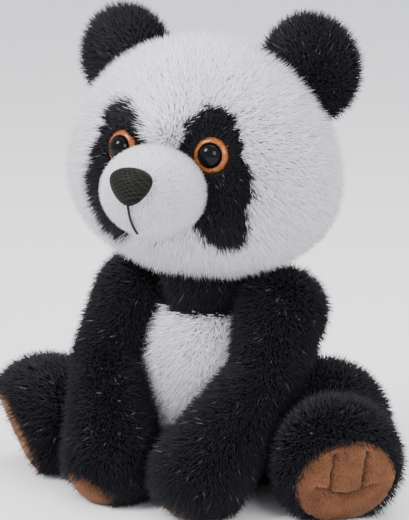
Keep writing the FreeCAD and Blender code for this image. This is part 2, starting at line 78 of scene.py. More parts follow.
def colour(default, text):
    return bpy.props.FloatVectorProperty(
        name=text, description=text, default=default, subtype="COLOR", min=0.0, max=1.0
    )


class PandaBody(bpy.types.PropertyGroup):
    """Sizes of the sewn skins that the pile grows from."""
    cover: size(0.0035, "Depth of the head's backing under its outside")
    plump: size(0.0012, "Depth of the limbs' backing under their outside")
    cloth: size(0.0008, "Thickness of the backing cloth")
    head_half_width: size(0.077, "Head half width")
    head_half_depth: size(0.046, "Head half depth")
    head_crown: size(0.072, "Head height above its widest level")
    head_chin: size(0.052, "Head height below its widest level")
    head_y: size(-0.007, "Head middle, front to back")
    head_seam_y: size(-0.002, "Seam between the face and the back of the head")
    forehead_half: size(0.015, "Half width of the middle face panel")
    torso_half_width: size(0.052, "Torso half width")
    torso_half_depth: size(0.040, "Torso half depth")
    torso_rise: size(0.061, "Torso height above its widest level")
    torso_drop: size(0.062, "Torso height below its widest level")
    torso_middle: place((0.0, 0.014, 0.052), "Middle of the torso's widest level")
    elbow: place((0.004, -0.026, -0.030), "Elbow from the shoulder")
    paw: place((0.027, -0.056, 0.022), "Middle of the left paw")
    arm_radii: place((0.021, 0.0155, 0.023), "Radii of shoulder, elbow and paw")
    ankle: place((0.016, -0.026, -0.006), "Ankle from the hip")
    foot: place((0.031, -0.046, -0.004), "Foot from the hip")
    leg_radii: place((0.033, 0.027, 0.031), "Radii of hip, ankle and foot")
    sole_yaw: amount(45.0, "Degrees that each sole turns outwards")
    sole_down: amount(24.0, "Degrees that each sole looks down")
    sole_flat: size(0.017, "Sole plane in front of the foot's middle")
    ear_radius: size(0.026, "Ear radius")
    ear_half_thick: size(0.0065, "Ear half thickness")
    ear_rise: size(0.0125, "Ear's middle above its seam")


class PandaFace(bpy.types.PropertyGroup):
    """Sizes on the face."""
    patch_half_width: size(0.0180, "Eye patch half width")
    patch_half_height: size(0.0345, "Eye patch half height")
    patch_x: size(0.0270, "Eye patch middle, sideways")
    patch_up: size(0.006, "Eye patch middle above the head's widest level")
    patch_tilt: amount(8.0, "Degrees that the patch leans outwards at its foot")
    eye_clear: size(0.0100, "Radius kept free of pile round an eye")
    iris_radius: size(0.0093, "Iris ring radius")
    pupil_radius: size(0.0068, "Pupil radius")
    pupil_rise: size(0.0056, "Pupil dome height")


class PandaPile(bpy.types.PropertyGroup):
    """Lengths of the pile and its colours."""
    long: size(0.0095, "Long pile")
    short: size(0.0032, "Muzzle pile")
    velvet: size(0.0019, "Pad pile")
    # The root colours are darker than the tip colours: painted shade deep in the pile.
    white_root: colour((0.78, 0.75, 0.80), "White pile at the root")
    white_tip: colour((0.93, 0.90, 0.965), "White pile at the tip")
    black_root: colour((0.0025, 0.0025, 0.0035), "Black pile at the root")
    black_tip: colour((0.010, 0.010, 0.0145), "Black pile at the tip")
    brown_root: colour((0.085, 0.028, 0.012), "Brown pile at the root")
    brown_tip: colour((0.34, 0.145, 0.065), "Brown pile at the tip")
    iris: colour((0.22, 0.050, 0.006), "Iris ring")


GROUPS = (PandaBody, PandaFace, PandaPile)


def mirrored(point, side):
    return Vector((point[0] * SIDES[side], point[1], point[2]))


def body_sizes():
    return bpy.context.scene.panda_body


def head_middle():
    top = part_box("head_back_panel")[1]
    return Vector((0.0, body_sizes().head_y, top[2] - body_sizes().head_crown))


def unit(vector):
    return vector.normalized() if vector.length > 1e-9 else Vector((0, 0, 1))


# ---- materials -------------------------------------------------------------------------------
def material(name):
    mat = bpy.data.materials.new(name)
    mat.use_nodes = True
    nodes = mat.node_tree.nodes
    return mat, nodes, mat.node_tree.links, nodes["Principled BSDF"]


def pile_material(name, root, tip, roughness, sheen, specular, stray, patchy):
    """Pile whose colour runs from a darker root, painted shade deep in the pile, to a lighter tip, with a little random
    tone from strand to strand.
    """
    mat, nodes, links, shader = material(name)
    shader.inputs["Roughness"].default_value = roughness
    shader.inputs["Specular IOR Level"].default_value = specular
    shader.inputs["Sheen Weight"].default_value = sheen
    shader.inputs["Sheen Roughness"].default_value = 0.45
    uv = nodes.new("ShaderNodeUVMap")
    uv.uv_map = "OFBake"
    split = nodes.new("ShaderNodeSeparateXYZ")
    links.new(uv.outputs["UV"], split.inputs["Vector"])
    # Root to tip: the darker root colour is painted shade deep in the pile.
    along = nodes.new("ShaderNodeMix")
    along.data_type = "RGBA"
    along.inputs["A"].default_value = (*root, 1)
    along.inputs["B"].default_value = (*tip, 1)
    links.new(split.outputs["Y"], along.inputs["Factor"])
    shade = nodes.new("ShaderNodeMapRange")
    shade.inputs["To Min"].default_value = 0.78
    shade.inputs["To Max"].default_value = 1.12
    links.new(split.outputs["X"], shade.inputs["Value"])
    lit = nodes.new("ShaderNodeVectorMath")
    lit.operation = "SCALE"
    links.new(along.outputs["Result"], lit.inputs["Vector"])
    links.new(shade.outputs["Result"], lit.inputs["Scale"])
    pale = nodes.new("ShaderNodeMath")
    pale.operation = "GREATER_THAN"
    pale.inputs[1].default_value = 1.0 - stray
    links.new(split.outputs["X"], pale.inputs[0])
    mixed = nodes.new("ShaderNodeMix")
    mixed.data_type = "RGBA"
    mixed.inputs["B"].default_value = (0.16, 0.16, 0.19, 1)
    links.new(pale.outputs["Value"], mixed.inputs["Factor"])
    links.new(lit.outputs["Vector"], mixed.inputs["A"])
    place_in = nodes.new("ShaderNodeTexCoord")
    noise = nodes.new("ShaderNodeTexNoise")
    noise.inputs["Scale"].default_value = 110.0
    links.new(place_in.outputs["Object"], noise.inputs["Vector"])
    spread = nodes.new("ShaderNodeMapRange")
    spread.inputs["From Min"].default_value = 0.3
    spread.inputs["From Max"].default_value = 0.7
    spread.inputs["To Min"].default_value = 1.0 - patchy
    spread.inputs["To Max"].default_value = 1.0 + patchy
    links.new(noise.outputs["Fac"], spread.inputs["Value"])
    worn = nodes.new("ShaderNodeVectorMath")
    worn.operation = "SCALE"
    links.new(mixed.outputs["Result"], worn.inputs["Vector"])
    links.new(spread.outputs["Result"], worn.inputs["Scale"])
    links.new(worn.outputs["Vector"], shader.inputs["Base Color"])
    return mat


def iris_material(base):
    """Glitter flakes in orange plastic, of random tone, with the brightest flakes painted as sparkle."""
    mat, nodes, links, shader = material("iris_glitter")
    shader.inputs["Roughness"].default_value = 0.28
    shader.inputs["Specular IOR Level"].default_value = 0.25
    shader.inputs["Coat Weight"].default_value = 0.25
    shader.inputs["Coat Roughness"].default_value = 0.08
    place_in = nodes.new("ShaderNodeTexCoord")
    flakes = nodes.new("ShaderNodeTexVoronoi")
    flakes.inputs["Scale"].default_value = 2600.0
    links.new(place_in.outputs["Object"], flakes.inputs["Vector"])
    # The flakes vary in tone at random; the brightest, paler flakes are painted glints standing in for the glitter's
    # sparkle.
    flake_tone_and_sparkle = nodes.new("ShaderNodeValToRGB")
    flake_tone_and_sparkle.color_ramp.elements[0].position = 0.15
    flake_tone_and_sparkle.color_ramp.elements[0].color = (base[0] * 0.30, base[1] * 0.20, base[2] * 0.3, 1)
    flake_tone_and_sparkle.color_ramp.elements[1].position = 0.9
    flake_tone_and_sparkle.color_ramp.elements[1].color = (base[0] * 1.8, base[1] * 2.6, base[2] * 4, 1)
    middle = flake_tone_and_sparkle.color_ramp.elements.new(0.5)
    middle.color = (*base, 1)
    links.new(flakes.outputs["Color"], flake_tone_and_sparkle.inputs["Fac"])
    links.new(flake_tone_and_sparkle.outputs["Color"], shader.inputs["Base Color"])
    return mat


def nose_material():
    """Dark moulded skin with fine pale fibres lying across it at random."""
    mat, nodes, links, shader = material("nose_fibre")
    shader.inputs["Roughness"].default_value = 0.5
    shader.inputs["Specular IOR Level"].default_value = 0.06
    place_in = nodes.new("ShaderNodeTexCoord")
    strength = None
    for turn, scale in ((0.4, 150.0), (2.1, 190.0), (1.2, 170.0)):
        mapping = nodes.new("ShaderNodeMapping")
        mapping.inputs["Rotation"].default_value = (turn, turn * 1.7, turn * 0.6)
        links.new(place_in.outputs["Object"], mapping.inputs["Vector"])
        wave = nodes.new("ShaderNodeTexWave")
        wave.inputs["Scale"].default_value = scale
        wave.inputs["Distortion"].default_value = 7.0
        wave.inputs["Detail"].default_value = 2.0
        wave.inputs["Detail Scale"].default_value = 0.6
        links.new(mapping.outputs["Vector"], wave.inputs["Vector"])
        line = nodes.new("ShaderNodeMath")
        line.operation = "GREATER_THAN"
        line.inputs[1].default_value = 0.994
        links.new(wave.outputs["Fac"], line.inputs[0])
        if strength:
            both = nodes.new("ShaderNodeMath")
            both.operation = "MAXIMUM"
            links.new(strength, both.inputs[0])
            links.new(line.outputs["Value"], both.inputs[1])
            strength = both.outputs["Value"]
        else:
            strength = line.outputs["Value"]
    mix = nodes.new("ShaderNodeMix")
    mix.data_type = "RGBA"
    mix.inputs["A"].default_value = (0.004, 0.004, 0.0035, 1)
    mix.inputs["B"].default_value = (0.035, 0.038, 0.027, 1)
    links.new(strength, mix.inputs["Factor"])
    links.new(mix.outputs["Result"], shader.inputs["Base Color"])
    bump = nodes.new("ShaderNodeBump")
    bump.inputs["Strength"].default_value = 0.35
    bump.inputs["Distance"].default_value = 0.0002
    links.new(strength, bump.inputs["Height"])
    links.new(bump.outputs["Normal"], shader.inputs["Normal"])
    return mat


def plain_material(name, base, roughness, specular, coat, grain):
    """Plastic or thread with a fine grain in its colour."""
    mat, nodes, links, shader = material(name)
    shader.inputs["Roughness"].default_value = roughness
    shader.inputs["Coat Weight"].default_value = coat
    shader.inputs["Coat Roughness"].default_value = 0.03
    shader.inputs["Specular IOR Level"].default_value = specular
    place_in = nodes.new("ShaderNodeTexCoord")
    noise = nodes.new("ShaderNodeTexNoise")
    noise.inputs["Scale"].default_value = grain
    links.new(place_in.outputs["Object"], noise.inputs["Vector"])
    mix = nodes.new("ShaderNodeMix")
    mix.data_type = "RGBA"
    mix.inputs["A"].default_value = (*[c * 0.8 for c in base], 1)
    mix.inputs["B"].default_value = (*[min(1.0, c * 1.25) for c in base], 1)
    links.new(noise.outputs["Fac"], mix.inputs["Factor"])
    links.new(mix.outputs["Result"], shader.inputs["Base Color"])
    return mat


# ---- skins -----------------------------------------------------------------------------------
def add_object(name, mesh, mat=None):
    obj = bpy.data.objects.new(name, mesh)
    bpy.context.scene.collection.objects.link(obj)
    if mat:
        mesh.materials.clear()
        mesh.materials.append(mat)
    for polygon in mesh.polygons:
        polygon.use_smooth = True
    return obj


def mesh_from(bm, name):
    mesh = bpy.data.meshes.new(name)
    bm.to_mesh(mesh)
    bm.free()
    return mesh


def evaluated(obj, name):
    """A new mesh of an object with its modifiers applied; the object is removed."""
    graph = bpy.context.evaluated_depsgraph_get()
    mesh = bpy.data.meshes.new_from_object(obj.evaluated_get(graph), preserve_all_data_layers=True, depsgraph=graph)
    mesh.name = name
    bpy.data.objects.remove(obj)
    return mesh


def egg_skin(name, middle, half_width, half_depth, rise, drop, detail=5):
    bm = bmesh.new()
    bmesh.ops.create_icosphere(bm, subdivisions=detail, radius=1.0)
    for v in bm.verts:
        v.co = middle + Vector((v.co.x * half_width, v.co.y * half_depth, v.co.z * (rise if v.co.z > 0 else drop)))
    return mesh_from(bm, name)


def limb_skin(name, points, radii, voxel=0.0022):
    """Balls joined by tangent cones, remeshed into one smooth skin."""
    bm = bmesh.new()
    for point, radius in zip(points, radii):
        bmesh.ops.create_uvsphere(bm, u_segments=32, v_segments=20, radius=radius, matrix=Matrix.Translation(point))
    for a, b, ra, rb in zip(points, points[1:], radii, radii[1:]):
        axis = b - a
        lean = math.asin((ra - rb) / axis.length)
        start = a + unit(axis) * ra * math.sin(lean)
        end = b + unit(axis) * rb * math.sin(lean)
        turn = axis.to_track_quat("Z", "Y").to_matrix().to_4x4()
        bmesh.ops.create_cone(
            bm, segments=32, cap_ends=True, radius1=ra * math.cos(lean), radius2=rb * math.cos(lean),
            depth=(end - start).length, matrix=Matrix.Translation((start + end) / 2) @ turn,
        )
    obj = add_object(name + "_rough", mesh_from(bm, name))
    remesh = obj.modifiers.new("one skin", "REMESH")
    remesh.mode = "VOXEL"
    remesh.voxel_size = voxel
    smooth = obj.modifiers.new("stuffed", "SMOOTH")
    smooth.factor = 0.5
    smooth.iterations = 14
    return evaluated(obj, name)


def patch_of(mesh, name, wanted):
    """The faces of a skin whose middle is in a region, as a mesh of their own."""
    bm = bmesh.new()
    bm.from_mesh(mesh)
    gone = [f for f in bm.faces if not wanted(f.calc_center_median())]
    bmesh.ops.delete(bm, geom=gone, context="FACES")
    if not bm.faces:
        raise RuntimeError(name + " has no faces in its region")
    return mesh_from(bm, name)


def flat_to_floor(mesh, floor):
    for v in mesh.vertices:
        v.co.z = max(v.co.z, floor)


# ---- pile ------------------------------------------------------------------------------------
def make_strand():
    """One closed tapered strand, one unit long, with its share of the length stored for the pile's colour, which is
    painted darker at the root as shade.
    """
    bm = bmesh.new()
    bmesh.ops.create_cone(bm, segments=3, cap_ends=True, radius1=1.0, radius2=0.0, depth=1.0,
                          matrix=Matrix.Translation((0, 0, 0.5)))
    bmesh.ops.remove_doubles(bm, verts=bm.verts[:], dist=1e-6)
    share = bm.verts.layers.float.new("along")
    for v in bm.verts:
        v[share] = v.co.z
    strand = add_object("strand_pattern", mesh_from(bm, "strand_pattern"))
    strand.hide_render = True
    return strand


def field(tree, name, kind="FLOAT"):
    node = tree.nodes.new("GeometryNodeInputNamedAttribute")
    node.data_type = kind
    node.inputs["Name"].default_value = name
    return node.outputs["Attribute"]


def math_node(tree, operation, a, b):
    node = tree.nodes.new("ShaderNodeMath")
    node.operation = operation
    for socket, value in zip(node.inputs, (a, b)):
        if isinstance(value, (int, float)):
            socket.default_value = value
        else:
            tree.links.new(value, socket)
    return node.outputs[0]


def random_field(tree, low, high, seed, kind="FLOAT"):
    node = tree.nodes.new("FunctionNodeRandomValue")
    node.data_type = kind
    picks = [s for s in node.inputs if s.enabled and s.name in ("Min", "Max")]
    picks[0].default_value = low
    picks[1].default_value = high
    node.inputs["Seed"].default_value = seed
    return next(s for s in node.outputs if s.enabled)


def pile_tree(strand, shell, mat, length, width, density, jitter, seed):
    """Strands over a patch, leaning along its comb, with the backing cloth joined in."""
    tree = bpy.data.node_groups.new("pile", "GeometryNodeTree")
    tree.interface.new_socket("Geometry", in_out="INPUT", socket_type="NodeSocketGeometry")
    tree.interface.new_socket("Geometry", in_out="OUTPUT", socket_type="NodeSocketGeometry")
    new, link = tree.nodes.new, tree.links.new
    source, result = new("NodeGroupInput"), new("NodeGroupOutput")
    scatter = new("GeometryNodeDistributePointsOnFaces")
    link(source.outputs[0], scatter.inputs["Mesh"])
    link(math_node(tree, "MULTIPLY", field(tree, "grow"), density), scatter.inputs["Density"])
    scatter.inputs["Seed"].default_value = seed
    lean = new("ShaderNodeVectorMath")
    link(field(tree, "comb", "FLOAT_VECTOR"), lean.inputs[0])
    link(random_field(tree, (-jitter,) * 3, (jitter,) * 3, seed + 1, "FLOAT_VECTOR"), lean.inputs[1])
    align = new("FunctionNodeAlignRotationToVector")
    align.axis = "Z"
    link(lean.outputs["Vector"], align.inputs["Vector"])
    spin = new("FunctionNodeAxisAngleToRotation")
    spin.inputs["Axis"].default_value = (0, 0, 1)
    link(random_field(tree, 0.0, math.tau, seed + 2), spin.inputs["Angle"])
    turn = new("FunctionNodeRotateRotation")
    turn.rotation_space = "LOCAL"
    link(align.outputs["Rotation"], turn.inputs["Rotation"])
    link(spin.outputs["Rotation"], turn.inputs["Rotate By"])
    reach = math_node(tree, "MULTIPLY", field(tree, "long"), random_field(tree, 0.65 * length, 1.15 * length, seed + 3))
    thick = random_field(tree, 0.7 * width, 1.2 * width, seed + 4)
    scale = new("ShaderNodeCombineXYZ")
    link(thick, scale.inputs["X"])
    link(thick, scale.inputs["Y"])
    link(reach, scale.inputs["Z"])
    pattern = new("GeometryNodeObjectInfo")
    pattern.inputs["Object"].default_value = strand
    grow = new("GeometryNodeInstanceOnPoints")
    link(scatter.outputs["Points"], grow.inputs["Points"])
    link(pattern.outputs["Geometry"], grow.inputs["Instance"])
    link(turn.outputs["Rotation"], grow.inputs["Rotation"])
    link(scale.outputs["Vector"], grow.inputs["Scale"])
    shade = new("GeometryNodeStoreNamedAttribute")
    shade.domain = "INSTANCE"
    shade.inputs["Name"].default_value = "shade"
    link(grow.outputs["Instances"], shade.inputs["Geometry"])
    link(random_field(tree, 0.0, 1.0, seed + 5), shade.inputs["Value"])
    real = new("GeometryNodeRealizeInstances")
    link(shade.outputs["Geometry"], real.inputs["Geometry"])
    cloth = new("GeometryNodeObjectInfo")
    cloth.inputs["Object"].default_value = shell
    join = new("GeometryNodeJoinGeometry")
    link(real.outputs["Geometry"], join.inputs["Geometry"])
    link(cloth.outputs["Geometry"], join.inputs["Geometry"])
    here = new("GeometryNodeInputPosition")
    split = new("ShaderNodeSeparateXYZ")
    link(here.outputs["Position"], split.inputs["Vector"])
    above = new("ShaderNodeCombineXYZ")
    link(split.outputs["X"], above.inputs["X"])
    link(split.outputs["Y"], above.inputs["Y"])
    link(math_node(tree, "MAXIMUM", split.outputs["Z"], 0.0003), above.inputs["Z"])
    stay = new("GeometryNodeSetPosition")
    link(join.outputs["Geometry"], stay.inputs["Geometry"])
    link(above.outputs["Vector"], stay.inputs["Position"])
    pair = new("ShaderNodeCombineXYZ")
    link(field(tree, "shade"), pair.inputs["X"])
    link(field(tree, "along"), pair.inputs["Y"])
    store = new("GeometryNodeStoreNamedAttribute")
    store.data_type = "FLOAT2"
    store.domain = "CORNER"
    store.inputs["Name"].default_value = "OFBake"
    link(stay.outputs["Geometry"], store.inputs["Geometry"])
    link(pair.outputs["Vector"], store.inputs["Value"])
    paint = new("GeometryNodeSetMaterial")
    paint.inputs["Material"].default_value = mat
    link(store.outputs["Geometry"], paint.inputs["Geometry"])
    link(paint.outputs["Geometry"], result.inputs[0])
    return tree


def store_floats(mesh, name, values):
    layer = mesh.attributes.new(name, "FLOAT", "POINT")
    layer.data.foreach_set("value", values)


def comb_patch(mesh, flow, lift, grow, long):
    """Which way the pile leans at each point, where it grows and how long it is."""
    combs, grows, longs = [], [], []
    for v in mesh.vertices:
        way = flow(v.co, v.normal)
        way = way - v.normal * way.dot(v.normal)
        combs += (unit(way) * (1 - lift) + v.normal * lift)[:]
        grows.append(grow(v.co))
        longs.append(long(v.co))
    layer = mesh.attributes.new("comb", "FLOAT_VECTOR", "POINT")
    layer.data.foreach_set("vector", combs)
    store_floats(mesh, "grow", grows)
    store_floats(mesh, "long", longs)


def always(_):
    return 1.0


def pile_piece(name, patch, mat, body, stands_for, flow, length, width, density,
               lift=0.55, jitter=0.25, seed=1, grow=always, long=always):
    """A panel of fur fabric: a thin closed backing and the strands that grow on it."""
    density *= 1.5
    width *= 1.25
    bm = bmesh.new()
    bm.from_mesh(patch)
    bmesh.ops.solidify(bm, geom=bm.faces[:], thickness=body_sizes().cloth)
    bmesh.ops.recalc_face_normals(bm, faces=bm.faces[:])
    cloth = mesh_from(bm, name + "_cloth")
    store_floats(cloth, "shade", [0.5] * len(cloth.vertices))
    # The backing cloth takes the pile's root colour, so where it shows between strands it carries the same painted
    # shade.
    store_floats(cloth, "along", [0.0] * len(cloth.vertices))
    shell = add_object(name + "_shell", cloth)
    comb_patch(patch, flow, lift, grow, long)
    root = add_object(name + "_root", patch)
    modifier = root.modifiers.new("pile", "NODES")
    strand = bpy.data.objects["strand_pattern"]
    modifier.node_group = pile_tree(strand, shell, mat, length, width, density, jitter, seed)
    mesh = evaluated(root, name)
    bpy.data.objects.remove(shell)
    keep = mesh.uv_layers.get("OFBake")
    if not keep:
        raise RuntimeError(name + " lost the map that its pile colour follows")
    for old in ("comb", "grow", "long", "along", "shade"):
        if old in mesh.attributes:
            mesh.attributes.remove(mesh.attributes[old])
    piece = add_object(name, mesh, mat)
    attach(piece, body)
    if stands_for:
        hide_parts(*stands_for)
    return piece


# ---- operators -------------------------------------------------------------------------------
class PANDA_OT_materials(bpy.types.Operator):
    """Make the pile, plastic and thread materials"""
    bl_idname = "panda.materials"
    bl_label = "Materials"

    def execute(self, context):
        pile = context.scene.panda_pile
        pile_material("white_pile", pile.white_root, pile.white_tip, 0.75, 0.25, 0.3, 0.0, 0.03)
        pile_material("black_pile", pile.black_root, pile.black_tip, 0.5, 0.02, 0.16, 0.006, 0.15)
        pile_material("brown_pile", pile.brown_root, pile.brown_tip, 0.8, 0.1, 0.2, 0.0, 0.22)
        iris_material(pile.iris)
        nose_material()
        plain_material("pupil_black", (0.002, 0.002, 0.0025), 0.05, 0.04, 0.16, 300.0)
        plain_material("thread_black", (0.012, 0.012, 0.012), 0.7, 0.2, 0.0, 2500.0)
        plain_material("thread_brown", (0.05, 0.018, 0.008), 0.7, 0.2, 0.0, 2500.0)
        plain_material("washer_plastic", (0.8, 0.8, 0.78), 0.5, 0.4, 0.0, 300.0)
        plain_material("filling", (0.8, 0.8, 0.8), 0.9, 0.2, 0.0, 900.0)
        make_strand()
        return {"FINISHED"}


class PANDA_OT_head(bpy.types.Operator):
    """Make the head's panels, eye patches and muzzle"""
    bl_idname = "panda.head"
    bl_label = "Head"

    def execute(self, context):
        body, face, pile = context.scene.panda_body, context.scene.panda_face, context.scene.panda_pile
        middle = head_middle()
        skin = egg_skin("head_skin", middle, body.head_half_width - body.cover, body.head_half_depth - body.cover,
                        body.head_crown - body.cover, body.head_chin - body.cover)
        eyes = {side: (Vector(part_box("iris_ring_" + side)[0]) + Vector(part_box("iris_ring_" + side)[1])) / 2
                for side in SIDES}
        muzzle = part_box("muzzle_cover")
        bridge = Vector((0, body.head_y - 0.015, muzzle[1][2] - 0.010))
        muzzle_middle = Vector((0, (muzzle[0][1] + muzzle[1][1]) / 2, (muzzle[0][2] + muzzle[1][2]) / 2))
        muzzle_radius = (muzzle[1][2] - muzzle[0][2]) / 2

        def in_patch(c):
            if c.y > body.head_seam_y:
                return False
            x, z = abs(c.x) - face.patch_x, c.z - middle.z - face.patch_up
            a = math.radians(face.patch_tilt)
            across, up = x * math.cos(a) + z * math.sin(a), z * math.cos(a) - x * math.sin(a)
            return math.hypot(across / face.patch_half_width, up / face.patch_half_height) < 1

        def eye_gap(c):
            return min(math.hypot(c.x - e.x, c.z - e.z) if c.y < 0 else 1.0 for e in eyes.values())

        def grow(c):
            on_muzzle = c.y < 0 and math.hypot(c.x, c.z - muzzle_middle.z) < muzzle_radius * 0.86
            return 0.0 if on_muzzle or eye_gap(c) < face.eye_clear * 0.86 else 1.0

        def open_skin(c):
            return eye_gap(c) > face.iris_radius * 0.93

        def long(c):
            near_eye = min(1.0, 0.25 + max(0.0, eye_gap(c) - face.eye_clear) / 0.012)
            near_muzzle = max(0.0, math.hypot(c.x, c.z - muzzle_middle.z) - muzzle_radius) / 0.014
            return min(near_eye, 0.45 + near_muzzle if c.y < -0.02 else 1.0, 1.0)

        def flow(co, _normal):
            way = unit(co - bridge)
            for e in eyes.values():
                gap = Vector((co.x - e.x, 0, co.z - e.z))
                if co.y < 0 and gap.length < 0.018:
                    way = way + unit(gap) * (1 - gap.length / 0.018) * 3
            return way + Vector((0, 0, -0.25))

        white, black = bpy.data.materials["white_pile"], bpy.data.materials["black_pile"]
        front = lambda c: c.y <= body.head_seam_y and not in_patch(c)
        regions = (
            ("forehead_fur", white, ("forehead_panel",), 1.7,
             lambda c: front(c) and abs(c.x) <= body.forehead_half and c.z > middle.z),
            ("chin_fur", white, ("chin_panel",), 1.5,
             lambda c: front(c) and abs(c.x) <= body.forehead_half and c.z <= middle.z),
            ("cheek_fur_left", white, ("cheek_panel_left",), 1.7, lambda c: front(c) and c.x > body.forehead_half),
            ("cheek_fur_right", white, ("cheek_panel_right",), 1.5, lambda c: front(c) and c.x < -body.forehead_half),
            ("eye_patch_fur_left", black, ("eye_patch_left",), 2.0, lambda c: in_patch(c) and c.x > 0),
            ("eye_patch_fur_right", black, ("eye_patch_right",), 2.0, lambda c: in_patch(c) and c.x < 0),
            ("head_back_fur_left", white, ("head_back_panel", "head_stuffing"), 1.1,
             lambda c: c.y > body.head_seam_y and c.x >= 0),
            ("head_back_fur_right", white, (), 1.1, lambda c: c.y > body.head_seam_y and c.x < 0),
        )
        for k, (name, mat, stands_for, density, wanted) in enumerate(regions):
            patch = patch_of(skin, name, lambda c: wanted(c) and open_skin(c))
            pile_piece(name, patch, mat, "head", stands_for, flow, pile.long, 0.00030, density * 1e6,
                       seed=10 + 7 * k, grow=grow, long=long)
        half = [(muzzle[1][k] - muzzle[0][k]) / 2 - 0.002 for k in range(3)]
        snout = egg_skin("muzzle_fur", Vector((0, muzzle[0][1] + half[2] + 0.002, muzzle_middle.z)),
                         half[0] + 0.0025, half[2] + 0.001, half[2] + 0.001, half[2] + 0.001, detail=4)
        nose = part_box("nose")
        nose_middle = Vector((0, nose[0][1], (nose[0][2] + nose[1][2]) / 2))
        pile_piece("muzzle_fur", snout, white, "head", ("muzzle_cover", "muzzle_stuffing"),
                   lambda co, n: co - nose_middle, pile.short, 0.00018, 5.5e6, lift=0.5, jitter=0.25, seed=90,
                   grow=lambda c: 1.0 if (c - nose_middle).length > 0.009 else 0.0)
        bpy.data.meshes.remove(skin)
        return {"FINISHED"}


def eye_axis(side):
    washer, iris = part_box("eye_washer_" + side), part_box("iris_ring_" + side)
    front = (Vector(iris[0]) + Vector(iris[1])) / 2
    back = (Vector(washer[0]) + Vector(washer[1])) / 2
    return front, unit(unit(front - back) + Vector((0, 0, 0.12)))


class PANDA_OT_eyes(bpy.types.Operator):
    """Make the glossy pupils and the glitter rings"""
    bl_idname = "panda.eyes"
    bl_label = "Eyes"

    def execute(self, context):
        face = context.scene.panda_face
        for side in SIDES:
            front, out = eye_axis(side)
            turn = Matrix.Translation(front + out * 0.0011) @ out.to_track_quat("Z", "Y").to_matrix().to_4x4()
            bm = bmesh.new()
            bmesh.ops.create_uvsphere(bm, u_segments=64, v_segments=32, radius=1.0)
            for v in bm.verts:
                rise = face.pupil_rise if v.co.z > 0 else 0.003
                v.co = Vector((v.co.x * face.pupil_radius, v.co.y * face.pupil_radius, v.co.z * rise))
            bmesh.ops.transform(bm, matrix=turn, verts=bm.verts[:])
            pupil = add_object("pupil_" + side, mesh_from(bm, "pupil_" + side), bpy.data.materials["pupil_black"])
            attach(pupil, "head")
            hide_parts("eye_" + side)
            bm = bmesh.new()
            low, inner, outer = -0.0026, face.pupil_radius * 0.93, face.iris_radius
            profile = [bm.verts.new(p) for p in (
                (inner, 0, low), (outer, 0, low), (outer + 0.0001, 0, -0.0012), (outer - 0.0005, 0, -0.0002),
                (inner + 0.0009, 0, 0.0009), (inner + 0.0002, 0, 0.0009), (inner, 0, 0.0004),
            )]
            edges = [bm.edges.new((a, b)) for a, b in zip(profile, profile[1:] + profile[:1])]
            bmesh.ops.spin(bm, geom=profile + edges, cent=(0, 0, 0), axis=(0, 0, 1), angle=math.tau, steps=64,
                           use_merge=True)
            bmesh.ops.remove_doubles(bm, verts=bm.verts[:], dist=1e-6)
            bmesh.ops.recalc_face_normals(bm, faces=bm.faces[:])
            bmesh.ops.transform(bm, matrix=turn, verts=bm.verts[:])
            ring = add_object("iris_" + side, mesh_from(bm, "iris_" + side), bpy.data.materials["iris_glitter"])
            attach(ring, "head")
            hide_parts("iris_ring_" + side)
        return {"FINISHED"}


class PANDA_OT_nose(bpy.types.Operator):
    """Make the nose and the mouth stitch"""
    bl_idname = "panda.nose"
    bl_label = "Nose and mouth"

    def execute(self, context):
        low, high = (Vector(p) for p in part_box("nose"))
        half = Vector(((high.x - low.x) / 2, 0.0068, (high.z - low.z) / 2))
        middle = Vector((0, low.y + 0.0058, (low.z + high.z) / 2))
        bm = bmesh.new()
        bmesh.ops.create_uvsphere(bm, u_segments=64, v_segments=40, radius=1.0)
        bmesh.ops.rotate(bm, verts=bm.verts[:], matrix=Matrix.Rotation(math.pi / 2, 3, "X"))
        for v in bm.verts:
            narrow = 1.10 - 0.48 * (0.5 - 0.5 * v.co.z) ** 1.15
            tall = half.z * (0.95 if v.co.z > 0 else 1.18)
            v.co = Vector((v.co.x * half.x * 1.22 * narrow, v.co.y * half.y, v.co.z * tall))
        bmesh.ops.rotate(bm, verts=bm.verts[:], matrix=Matrix.Rotation(math.radians(-14), 3, "X"))
        bmesh.ops.translate(bm, verts=bm.verts[:], vec=middle)
        nose = add_object("nose_button", mesh_from(bm, "nose_button"), bpy.data.materials["nose_fibre"])
        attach(nose, "head")
        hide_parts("nose")
        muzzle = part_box("muzzle_cover")
        radius = (muzzle[1][2] - muzzle[0][2]) / 2
        centre = Vector((0, muzzle[0][1] + radius, (muzzle[0][2] + muzzle[1][2]) / 2))
        bm = bmesh.new()
        start = math.radians(8)
        reach = radius + 0.0021
        at = centre + Vector((0, -math.cos(start), -math.sin(start))) * reach
        ring = bmesh.ops.create_circle(bm, cap_ends=True, segments=12, radius=0.00065,
                                       matrix=Matrix.Translation(at) @ Matrix.Rotation(start, 4, "X"))
        bmesh.ops.spin(bm, geom=bm.faces[:], cent=centre, axis=(1, 0, 0), angle=math.radians(43), steps=24)
        bmesh.ops.recalc_face_normals(bm, faces=bm.faces[:])
        mouth = add_object("mouth_thread", mesh_from(bm, "mouth_thread"), bpy.data.materials["thread_black"])
        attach(mouth, "head")
        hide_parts("mouth_stitch")
        return {"FINISHED"}


